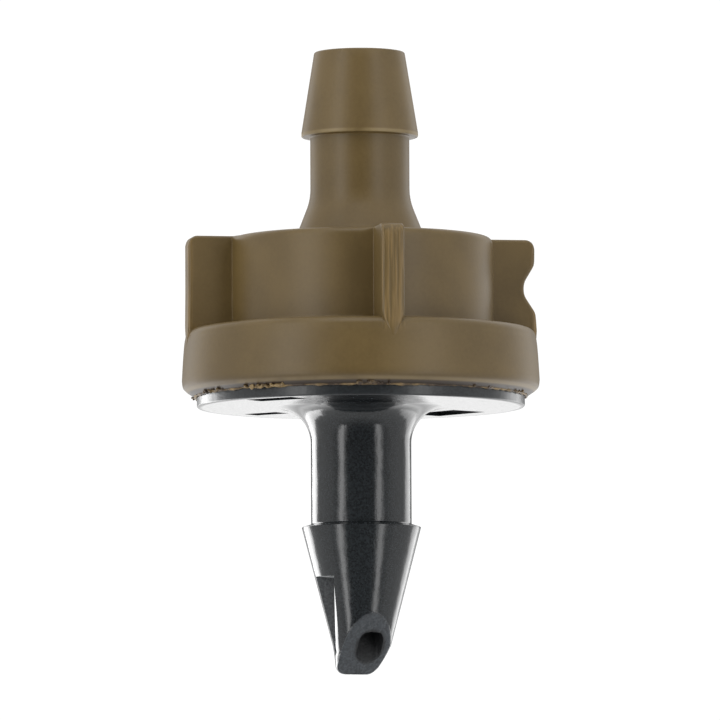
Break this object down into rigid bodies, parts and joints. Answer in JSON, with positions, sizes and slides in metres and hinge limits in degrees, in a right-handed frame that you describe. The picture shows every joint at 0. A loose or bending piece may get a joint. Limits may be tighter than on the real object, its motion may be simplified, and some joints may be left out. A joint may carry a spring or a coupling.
{
  "type": "drip emitter",
  "caption": "Button drip emitter with a self-piercing barb below, a barbed outlet above, four grip wings and a loose diaphragm inside.",
  "frame": {"origin": "on the emitter's axis at the underside of the flange, where it meets the supply pipe's wall", "axes": "+Z along the axis from the piercing barb to the outlet barb, +X through the wing that has the finger notch"},
  "size_m": [0.0164, 0.0164, 0.0288],
  "materials": {
    "cap_plastic": "satin moulded tan acetal",
    "silicone": "translucent moulded silicone",
    "base_plastic": "glossy moulded charcoal acetal"
  },
  "bodies": {
    "housing": {"outlet_cap": "cap_plastic", "inlet_base": "base_plastic"},
    "diaphragm": {"diaphragm": "silicone"}
  },
  "joints": [
    {"name": "diaphragm_lift", "type": "slide", "parent": "housing", "child": "diaphragm", "axis": [0, 0, 1], "range_m": [0, 0.0003]}
  ]
}
